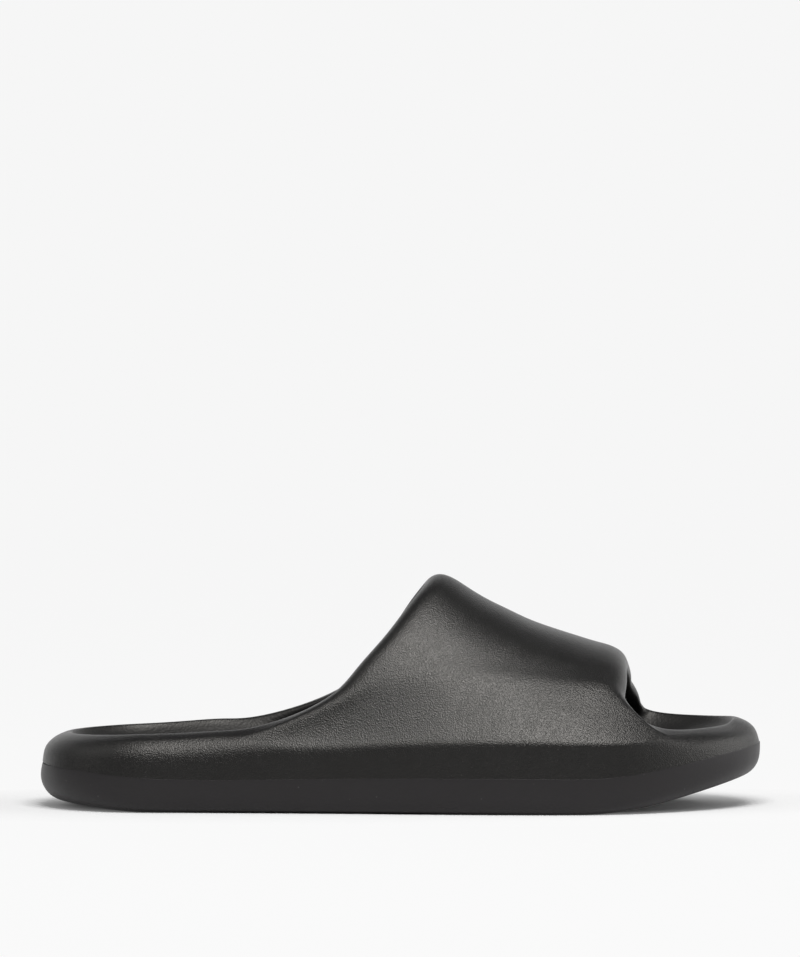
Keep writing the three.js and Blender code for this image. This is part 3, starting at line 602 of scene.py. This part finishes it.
def shelf_row(drop):
    row = []
    for place in places:
        point = place.inside(BOND_SHELF, 0.0)
        point.z = bond_height(point) - drop
        row.append(point)
    return row


def upper_cage():
    cage = Cage()
    shoulders = []
    for m, place in enumerate(places):
        if under_strap(m):
            z, inset = shoulder(place.point.x, place.side)
            shoulders.append(place.inside(inset, z))
        else:
            shoulders.append(place.roll_point(SHOULDER_ANGLE))
    walls = []
    for m, place in enumerate(places):
        z = mix(place.size("line"), shoulders[m].z, WALL_SHARE)
        walls.append(place.inside(FLANK_INSET if under_strap(m) else place.wall_inset(z), z))
    line = cage.row(line_row(0.0, NOTCH_UP))
    wall = cage.row(walls)
    outer = cage.row(shoulders)
    cage.band(line, wall)
    cage.band(wall, outer)
    shelf = cage.row(shelf_row(0.0))
    cage.band(shelf, line)
    cage.fill(shelf, BOND_STRIPS, bond_height, False)
    cage.sharpen(line)

    rows = [(row["rear"], row["front"]) for row in STRAP_ROWS]
    rows += [(2 - rear, 2 - front) for rear, front in reversed(rows[:-1])]
    columns = STRAP_FRONT - STRAP_REAR
    start = x_of_turn(REAR_TURN)
    span = x_of_turn(FRONT_TURN) - start
    shares = [(x_of_turn((STRAP_REAR + c) / STATIONS) - start) / span for c in range(columns + 1)]

    def lip(edge_rows, across, direction, search):
        edge = edge_x(edge_rows, across, search)
        stretch = x_stretch(edge, across)

        def reach(length):
            return edge + direction * length / stretch

        return {
            "outer": reach(LIP_LENGTH),
            "inner": reach(LIP_INNER),
            "mid": strap_inside(reach(LIP_LENGTH * LIP_MIDDLE), across, LIP_OUTER * LIP_MIDDLE),
            "edge": strap_inside(edge, across, LIP_OUTER),
        }

    rear_lips = [lip(COLLAR_EDGE, rear, 1, COLLAR_SEARCH) for rear, _ in rows]
    front_lips = [lip(FRONT_EDGE, front, -1, FRONT_SEARCH) for _, front in rows]
    outer_grid = []
    inner_grid = []
    for (rear, front), back, fore in zip(rows, rear_lips, front_lips):
        across = [mix(rear, front, share) for share in shares]
        outs = [mix(back["outer"], fore["outer"], share) for share in shares]
        ins = [mix(back["inner"], fore["inner"], share) for share in shares]
        outer_grid.append(cage.row([strap_outside(x, t) for x, t in zip(outs, across)]))
        inner_grid.append(cage.row([strap_inside(x, t, STRAP_WALL) for x, t in zip(ins, across)], 1.0))

    inners = []
    for m, place in enumerate(places):
        if under_strap(m):
            z, inset = shoulder(place.point.x, place.side)
            tilt = math.radians(STRAP_LEAN * INNER_TILT_SHARE)
            level = z - STRAP_WALL * math.sin(tilt) + INNER_RISE
            inners.append(place.inside(inset + STRAP_WALL * math.cos(tilt), level))
        else:
            inset = place.size("roll") * CREST_SHARE + LIP_INNER
            inners.append(place.inside(inset, place.crest() - LIP_DROP))
    feet = []
    beds = []
    for m, place in enumerate(places):
        bed = place.size("bed")
        inset = place.size("roll") + place.size("fall")
        rise = min(RIM_FILLET * FILLET_RISE, FILLET_LIMIT * (inners[m].z - bed))
        feet.append(place.inside(inset, bed + rise))
        point = place.inside(inset + RIM_FILLET, 0.0)
        point.z = bed_height(point, BED_EDGE)
        beds.append(point)
    inner = cage.row(inners, WALL_INSIDE)
    foot = cage.row(feet, 1.0)
    bed = cage.row(beds, 1.0)
    cage.band(inner, foot)
    cage.band(foot, bed)
    cage.fill(bed, FOOTBED_STRIPS, lambda point, across: bed_height(point, across * BED_EDGE), True, 1.0)

    def one_side(loop, side):
        if side < 0:
            return [loop[STRAP_REAR + c] for c in range(columns + 1)]
        return [loop[2 * STATIONS - STRAP_REAR - c] for c in range(columns + 1)]

    outer_rows = [one_side(outer, -1)] + outer_grid + [one_side(outer, 1)]
    inner_rows = [one_side(inner, -1)] + inner_grid + [one_side(inner, 1)]
    for j in range(len(outer_rows) - 1):
        cage.band(outer_rows[j], outer_rows[j + 1], False)
        cage.band(inner_rows[j + 1], inner_rows[j], False)

    def close_lip(arc, lips, outer_edge, inner_edge):
        mids = [places[m].roll_point(LIP_ANGLE) for m in arc] + [lip["mid"] for lip in lips]
        edges = [places[m].inside(places[m].size("roll") * CREST_SHARE, places[m].crest()) for m in arc]
        edges += [lip["edge"] for lip in lips]
        outside = [outer[m] for m in arc] + outer_edge
        within = [inner[m] for m in arc] + inner_edge
        mid = cage.row(mids)
        edge = cage.row(edges, EDGE_INSIDE)
        cage.band(outside, mid)
        cage.band(mid, edge)
        cage.band(edge, within)

    whole = 2 * STATIONS
    heel_arc = [m % whole for m in range(whole - STRAP_REAR, whole + STRAP_REAR + 1)]
    toe_arc = list(range(STRAP_FRONT, whole - STRAP_FRONT + 1))
    close_lip(heel_arc, rear_lips, [row[0] for row in outer_grid], [row[0] for row in inner_grid])
    outer_front = [row[-1] for row in outer_grid[::-1]]
    inner_front = [row[-1] for row in inner_grid[::-1]]
    close_lip(toe_arc, front_lips[::-1], outer_front, inner_front)
    fit_through(cage)
    return cage


def bottom_height(point, across):
    along = along_of(point.x)
    waist = min(max((along - WAIST_START) / WAIST_LENGTH, 0.0), 1.0)
    hollow = ARCH_HOLLOW * math.sin(math.pi * waist) ** 2 * (1 - across * across)
    return lookup(SIDE, "along", "bottom", along) * HEEL_RIM_HEIGHT + hollow


def outsole_cage():
    cage = Cage()
    line = cage.row(line_row(LINE_GAP, -NOTCH_DOWN))
    bevel = cage.row(line_row(LINE_BEVEL, -NOTCH_DOWN, LINE_LEDGE))
    shelf = cage.row(shelf_row(LINE_BEVEL))
    walls = []
    for share in WALL_ROWS:
        points = []
        for place in places:
            z = mix(place.size("line") - LINE_BEVEL, place.bottom_edge(), share)
            points.append(place.inside(place.wall_inset(z), z))
        walls.append(cage.row(points))
    pads = []
    for place in places:
        pad = place.inside(place.size("under") + PAD_INSET, 0.0)
        pad.z = bottom_height(pad, 1.0)
        pads.append(pad)
    pad = cage.row(pads)
    cage.band(line, shelf)
    cage.band(bevel, line)
    cage.band(walls[0], bevel)
    for lower, higher in zip(walls[1:], walls):
        cage.band(lower, higher)
    cage.band(pad, walls[-1])
    cage.fill(shelf, BOND_STRIPS, lambda point, across: bond_height(point) - LINE_BEVEL, True)
    cage.fill(pad, TREAD_STRIPS, bottom_height, False)
    cage.sharpen(line)
    fit_through(cage)
    return cage


def object_of(name, cage):
    """A Blender mesh of the cage's smooth surface, in metres, with the inside share kept on its points."""
    coarse = bpy.data.meshes.new(name + "_cage")
    coarse.from_pydata([p * MM for p in cage.points], [], cage.faces)
    coarse.attributes.new("inside", "FLOAT", "POINT").data.foreach_set("value", cage.inner)
    crease = coarse.attributes.new("crease_edge", "FLOAT", "EDGE")
    for edge in coarse.edges:
        crease.data[edge.index].value = 1.0 if edge_key(*edge.vertices) in cage.sharp else 0.0
    maker = bpy.data.objects.new(name + "_maker", coarse)
    bpy.context.scene.collection.objects.link(maker)
    smooth = maker.modifiers.new("smooth", "SUBSURF")
    smooth.levels = SUBDIVISIONS
    smooth.render_levels = SUBDIVISIONS
    smooth.use_limit_surface = True
    bpy.context.view_layer.update()
    evaluated = maker.evaluated_get(bpy.context.evaluated_depsgraph_get())
    mesh = bpy.data.meshes.new_from_object(evaluated)
    mesh.name = name
    bpy.data.objects.remove(maker)
    made = bpy.data.objects.new(name, mesh)
    bpy.context.scene.collection.objects.link(made)
    return made


def shade(piece, degrees):
    """Smooth shading that keeps edges sharper than an angle."""
    mesh = piece.data
    mesh.polygons.foreach_set("use_smooth", [True] * len(mesh.polygons))
    mesh.set_sharp_from_angle(angle=math.radians(degrees))


def groove_cutter():
    """All the tread's wavy grooves as one mesh of closed prisms."""
    points = []
    faces = []
    corners = ((-1, 0), (1, 0), (GROOVE_TAPER, 2 * GROOVE_DEPTH), (-GROOVE_TAPER, 2 * GROOVE_DEPTH))
    for zone in TREAD_ZONES:
        count = int((zone["end"] - zone["start"]) * LENGTH // GROOVE_PITCH)
        for i in range(count + 1):
            along = mix(zone["start"], zone["end"], i / count)
            x = (along - 0.5) * LENGTH
            left = outline_y(along, -1) - CENTRE_Y + EDGE_LAND
            right = outline_y(along, 1) - CENTRE_Y - EDGE_LAND
            low = lookup(SIDE, "along", "bottom", along) * HEEL_RIM_HEIGHT - GROOVE_DEPTH
            first = len(points)
            for step in range(GROOVE_STEPS + 1):
                share = step / GROOVE_STEPS
                middle = x + GROOVE_WAVE * math.cos(4 * math.pi * share)
                y = mix(left, right, share)
                for dx, rise in corners:
                    points.append(Vector((middle + dx * GROOVE_WIDTH / 2, y, low + rise)) * MM)
            for step in range(GROOVE_STEPS):
                a = first + 4 * step
                for c in range(4):
                    d = (c + 1) % 4
                    faces.append((a + c, a + 4 + c, a + 4 + d, a + d))
            faces.append(tuple(first + c for c in (0, 1, 2, 3)))
            faces.append(tuple(first + 4 * GROOVE_STEPS + c for c in (3, 2, 1, 0)))
    mesh = bpy.data.meshes.new("grooves")
    mesh.from_pydata(points, [], faces)
    cutter = bpy.data.objects.new("grooves", mesh)
    bpy.context.scene.collection.objects.link(cutter)
    return cutter


def cut(piece, cutter):
    change = piece.modifiers.new("cut", "BOOLEAN")
    change.operation = "DIFFERENCE"
    change.solver = "EXACT"
    change.object = cutter
    bpy.context.view_layer.update()
    evaluated = piece.evaluated_get(bpy.context.evaluated_depsgraph_get())
    mesh = bpy.data.meshes.new_from_object(evaluated)
    piece.modifiers.clear()
    mesh.name = piece.data.name
    piece.data = mesh
    bpy.data.objects.remove(cutter)


# Materials
class Nodes:
    """A material's node tree, with short ways to add and join nodes."""

    def __init__(self, name):
        self.material = bpy.data.materials.new(name)
        self.material.use_nodes = True
        self.tree = self.material.node_tree
        self.shader = self.tree.nodes["Principled BSDF"]
        self.place = self.add("ShaderNodeTexCoord").outputs["Object"]

    def add(self, kind, links=(), **settings):
        node = self.tree.nodes.new(kind)
        for key, value in settings.items():
            if hasattr(node, key):
                setattr(node, key, value)
            else:
                node.inputs[key.replace("_", " ")].default_value = value
        for socket, source in links:
            self.tree.links.new(source, node.inputs[socket])
        return node

    def noise(self, scale, detail, roughness):
        node = self.add("ShaderNodeTexNoise", [("Vector", self.place)])
        node.inputs["Scale"].default_value = scale
        node.inputs["Detail"].default_value = detail
        node.inputs["Roughness"].default_value = roughness
        return node.outputs["Fac"]

    def cells(self, scale, smooth):
        node = self.add("ShaderNodeTexVoronoi", [("Vector", self.place)])
        node.feature = "SMOOTH_F1"
        node.inputs["Scale"].default_value = scale
        node.inputs["Smoothness"].default_value = smooth
        return node.outputs["Distance"]

    def span(self, value, low, high, to_low, to_high):
        node = self.add("ShaderNodeMapRange", [("Value", value)])
        ends = {"From Min": low, "From Max": high, "To Min": to_low, "To Max": to_high}
        for socket, number in ends.items():
            node.inputs[socket].default_value = number
        return node.outputs["Result"]

    def fill(self, sockets, sources):
        for socket, source in zip(sockets, sources):
            if isinstance(source, (int, float)):
                socket.default_value = source
            else:
                self.tree.links.new(source, socket)

    def math(self, operation, a, b):
        node = self.add("ShaderNodeMath")
        node.operation = operation
        self.fill(node.inputs, (a, b))
        return node.outputs["Value"]

    def scaled_sum(self, value, scale, other):
        return self.math("ADD", self.math("MULTIPLY", value, scale), other)

    def blend(self, factor, a, b):
        node = self.add("ShaderNodeMix")
        node.data_type = "FLOAT"
        self.tree.links.new(factor, node.inputs[0])
        self.fill(node.inputs[2:4], (a, b))
        return node.outputs[0]

    def tint(self, factor, dark, light):
        node = self.add("ShaderNodeMix")
        node.data_type = "RGBA"
        self.tree.links.new(factor, node.inputs[0])
        node.inputs[6].default_value = (*dark, 1.0)
        node.inputs[7].default_value = (*light, 1.0)
        return node.outputs[2]

    def bump(self, height, distance, strength, before=None):
        node = self.add("ShaderNodeBump", [("Height", height)])
        node.inputs["Distance"].default_value = distance
        node.inputs["Strength"].default_value = strength
        if before:
            self.tree.links.new(before, node.inputs["Normal"])
        return node.outputs["Normal"]

    def link(self, source, socket):
        self.tree.links.new(source, self.shader.inputs[socket])


# Noises by scale per metre, detail and roughness, and cells by scale per metre and smoothness
UPPER_WAVES = (42.0, 2.0, 0.5)
UPPER_MOTTLE = (38.0, 4.0, 0.6)
UPPER_WEAR = (60.0, 4.0, 0.5)
FINE_NOISE = (2600.0, 2.0, 0.6)
FINE_CELLS = (1900.0, 0.4)
COARSE_NOISE = (1600.0, 2.0, 0.5)
COARSE_CELLS = (900.0, 0.4)
PEBBLE_CELLS = (1250.0, 0.8)
OUTSOLE_WAVES = (60.0, 2.0, 0.5)
OUTSOLE_GRAIN = (1000.0, 3.0, 0.55)
OUTSOLE_WEAR = (90.0, 4.0, 0.5)
DUST_PATCHES = (120.0, 1.0, 0.5)
SPECK_CELLS = (300.0, 0.0)

# Bumps by depth in metres and strength
UPPER_WAVE_BUMP = (0.0009, 0.1)
UPPER_GRAIN_BUMP = (0.000195, 0.6)
OUTSOLE_WAVE_BUMP = (0.0006, 0.1)
OUTSOLE_GRAIN_BUMP = (0.00015, 0.35)

# Colours, roughnesses and the shares in which the patterns add up
FOAM_GLOSS = 0.37
UPPER_TINT = (1.0, 0.97, 0.92)
UPPER_DARK = (0.0061, 0.006, 0.0061)
UPPER_LIGHT = (0.0074, 0.0073, 0.0074)
UPPER_ROUGHNESS = (0.28, 0.31)
PEBBLE_ROUGHNESS = 0.09
INSIDE_ROUGHNESS = 0.2
INSIDE_RANGE = (0.3, 0.75)
FINE_SHARE = 0.9
COARSE_SHARE = 0.7
OUTSOLE_TINT = (1.0, 0.96, 0.98)
OUTSOLE_COLOUR = (0.0085, 0.0079, 0.0081)
OUTSOLE_ROUGHNESS = (0.42, 0.48)
DUST_COLOUR = (0.05, 0.048, 0.046)
DUST_RANGE = (0.6, 0.64)
SPECK_SIZE = 0.14
NOISE_RANGE = (0.3, 0.7)


def low_gloss(nodes, tint):
    """The foam's low gloss, in a colour of its own."""
    nodes.shader.inputs["Specular IOR Level"].default_value = FOAM_GLOSS
    nodes.shader.inputs["Specular Tint"].default_value = (*tint, 1.0)


def upper_material():
    """Matt black foam with a fine pebbled grain, coarser on the inner walls and the footbed."""
    nodes = Nodes("upper_foam")
    inside = nodes.add("ShaderNodeAttribute", attribute_name="inside")
    share = nodes.span(inside.outputs["Fac"], *INSIDE_RANGE, 0.0, 1.0)
    fine = nodes.scaled_sum(nodes.cells(*FINE_CELLS), FINE_SHARE, nodes.noise(*FINE_NOISE))
    coarse = nodes.scaled_sum(nodes.noise(*COARSE_NOISE), COARSE_SHARE, nodes.cells(*COARSE_CELLS))
    grain = nodes.blend(share, fine, coarse)
    waves = nodes.bump(nodes.noise(*UPPER_WAVES), *UPPER_WAVE_BUMP)
    nodes.link(nodes.bump(grain, *UPPER_GRAIN_BUMP, waves), "Normal")
    mottle = nodes.span(nodes.noise(*UPPER_MOTTLE), *NOISE_RANGE, 0.0, 1.0)
    nodes.link(nodes.tint(mottle, UPPER_DARK, UPPER_LIGHT), "Base Color")
    worn = nodes.span(nodes.noise(*UPPER_WEAR), *NOISE_RANGE, *UPPER_ROUGHNESS)
    pebbled = nodes.scaled_sum(nodes.cells(*PEBBLE_CELLS), PEBBLE_ROUGHNESS, worn)
    nodes.link(nodes.scaled_sum(share, INSIDE_ROUGHNESS, pebbled), "Roughness")
    low_gloss(nodes, UPPER_TINT)
    return nodes.material


def outsole_material():
    """Smoother black foam with a few pale specks."""
    nodes = Nodes("outsole_foam")
    waves = nodes.bump(nodes.noise(*OUTSOLE_WAVES), *OUTSOLE_WAVE_BUMP)
    nodes.link(nodes.bump(nodes.noise(*OUTSOLE_GRAIN), *OUTSOLE_GRAIN_BUMP, waves), "Normal")
    specks = nodes.span(nodes.cells(*SPECK_CELLS), 0.0, SPECK_SIZE, 1.0, 0.0)
    rare = nodes.span(nodes.noise(*DUST_PATCHES), *DUST_RANGE, 0.0, 1.0)
    dust = nodes.math("MULTIPLY", specks, rare)
    nodes.link(nodes.tint(dust, OUTSOLE_COLOUR, DUST_COLOUR), "Base Color")
    worn = nodes.span(nodes.noise(*OUTSOLE_WEAR), *NOISE_RANGE, *OUTSOLE_ROUGHNESS)
    nodes.link(worn, "Roughness")
    low_gloss(nodes, OUTSOLE_TINT)
    return nodes.material


upper = object_of("upper_moulding", upper_cage())
shade(upper, UPPER_SMOOTH)
upper.data.materials.append(upper_material())
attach(upper, "root")
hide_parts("upper")

outsole = object_of("outsole_unit", outsole_cage())
for vertex in outsole.data.vertices:
    vertex.co.z = max(vertex.co.z, 0.0)
cut(outsole, groove_cutter())
shade(outsole, OUTSOLE_SMOOTH)
outsole.data.materials.clear()
outsole.data.materials.append(outsole_material())
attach(outsole, "root")
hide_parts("outsole")

# Camera: long lens, level with the outer side, a few degrees above the floor. Its shifts are in pixels.
ELEVATION = 4.6
AZIMUTH = 0.0
DISTANCE = 2.6
PIXELS_PER_MM = 2.479
IMAGE_WIDTH = 800.0
SENSOR_WIDTH = 36.0
SHIFT_RIGHT = -0.5
SHIFT_UP = 326.1
camera_data = bpy.data.cameras.new("camera")
camera_data.sensor_fit = "HORIZONTAL"
camera_data.sensor_width = SENSOR_WIDTH
camera_data.lens = SENSOR_WIDTH * DISTANCE / (IMAGE_WIDTH / PIXELS_PER_MM * MM)
camera_data.shift_x = SHIFT_RIGHT / IMAGE_WIDTH
camera_data.shift_y = SHIFT_UP / IMAGE_WIDTH
camera_data.clip_end = 50.0
camera = bpy.data.objects.new("camera", camera_data)
bpy.context.scene.collection.objects.link(camera)
lift = math.radians(ELEVATION)
swing = math.radians(AZIMUTH)
away = Vector((math.sin(swing) * math.cos(lift), -math.cos(swing) * math.cos(lift), math.sin(lift)))
camera.location = away * DISTANCE
camera.rotation_euler = (-away).to_track_quat("-Z", "Y").to_euler()
bpy.context.scene.camera = camera


# Stage and lights, in metres
FLOOR_WHITE = 0.56
FAR_FLOOR_WHITE = 0.02
NEAR_GLOW = 0.02
FAR_GLOW = 0.915
GLOW_RANGE = (0.125, 0.26)
STAGE_SIDE = 5.0
STAGE_FRONT = -6.0
STAGE_BEND_START = 3.0
STAGE_BEND = 1.5
STAGE_BEND_STEPS = 12
STAGE_TOP = 3.2
WORLD_GLOW = 0.06
LIGHTS = table(
    "name position target size radiance glossy roll",
    ("key", (0.15, -0.69, 1.15), (0.06, 0.0, 0.03), (0.8, 0.5), 20.0, True, 15.0),
    ("top", (0.0, 0.1, 2.2), (0.0, 0.0, 0.0), (1.8, 1.4), 1.0, False, 0.0),
    ("toe_side", (1.3, 0.1, 0.45), (0.1, 0.0, 0.02), (1.2, 0.8), 2.9, True, 0.0),
    ("heel_side", (-1.0, -0.2, 0.75), (0.0, 0.0, 0.02), (1.0, 0.8), 1.2, True, 0.0),
)


def stage_material():
    """Pale floor, lit by the lamps close to the shoe and evenly white further off."""
    nodes = Nodes("pale_stage")
    scaled = nodes.add("ShaderNodeVectorMath", [(0, nodes.place)], operation="MULTIPLY")
    scaled.inputs[1].default_value = (1.0, LENGTH / BALL_WIDTH, 1.0)
    length = nodes.add("ShaderNodeVectorMath", [("Vector", scaled.outputs["Vector"])], operation="LENGTH")
    far = nodes.span(length.outputs["Value"], *GLOW_RANGE, 0.0, 1.0)
    nodes.link(nodes.tint(far, (FLOOR_WHITE,) * 3, (FAR_FLOOR_WHITE,) * 3), "Base Color")
    nodes.link(nodes.span(far, 0.0, 1.0, NEAR_GLOW, FAR_GLOW), "Emission Strength")
    nodes.shader.inputs["Emission Color"].default_value = (1.0, 1.0, 1.0, 1.0)
    nodes.shader.inputs["Roughness"].default_value = 0.95
    nodes.shader.inputs["Specular IOR Level"].default_value = 0.0
    return nodes.material


def build_stage():
    """A pale floor that curves up into a backdrop."""
    profile = [(STAGE_FRONT, 0.0), (STAGE_BEND_START, 0.0)]
    for step in range(1, STAGE_BEND_STEPS + 1):
        angle = math.pi / 2 * step / STAGE_BEND_STEPS
        profile.append((STAGE_BEND_START + STAGE_BEND * math.sin(angle), STAGE_BEND * (1 - math.cos(angle))))
    profile.append((STAGE_BEND_START + STAGE_BEND, STAGE_TOP))
    points = [(x, y, z) for y, z in profile for x in (-STAGE_SIDE, STAGE_SIDE)]
    faces = [(2 * i, 2 * i + 1, 2 * i + 3, 2 * i + 2) for i in range(len(profile) - 1)]
    mesh = bpy.data.meshes.new("floor")
    mesh.from_pydata(points, [], faces)
    mesh.polygons.foreach_set("use_smooth", [True] * len(mesh.polygons))
    mesh.materials.append(stage_material())
    floor = bpy.data.objects.new("floor", mesh)
    bpy.context.scene.collection.objects.link(floor)


def area_light(name, position, target, size, radiance, glossy, roll):
    """A rectangular soft light of an even brightness, turned about its own axis by a roll in degrees."""
    data = bpy.data.lights.new(name, "AREA")
    data.shape = "RECTANGLE"
    data.size, data.size_y = size
    data.energy = radiance * size[0] * size[1] * math.pi
    light = bpy.data.objects.new(name, data)
    bpy.context.scene.collection.objects.link(light)
    light.location = position
    turn = (Vector(target) - Vector(position)).to_track_quat("-Z", "Y")
    light.rotation_euler = (turn @ Quaternion((0.0, 0.0, 1.0), math.radians(roll))).to_euler()
    light.visible_glossy = glossy


build_stage()
for row in LIGHTS:
    area_light(**row)
world = bpy.data.worlds.new("studio")
bpy.context.scene.world = world
world.use_nodes = True
world.node_tree.nodes["Background"].inputs["Color"].default_value = (1.0, 1.0, 1.0, 1.0)
world.node_tree.nodes["Background"].inputs["Strength"].default_value = WORLD_GLOW
bpy.context.scene.view_settings.view_transform = "Standard"
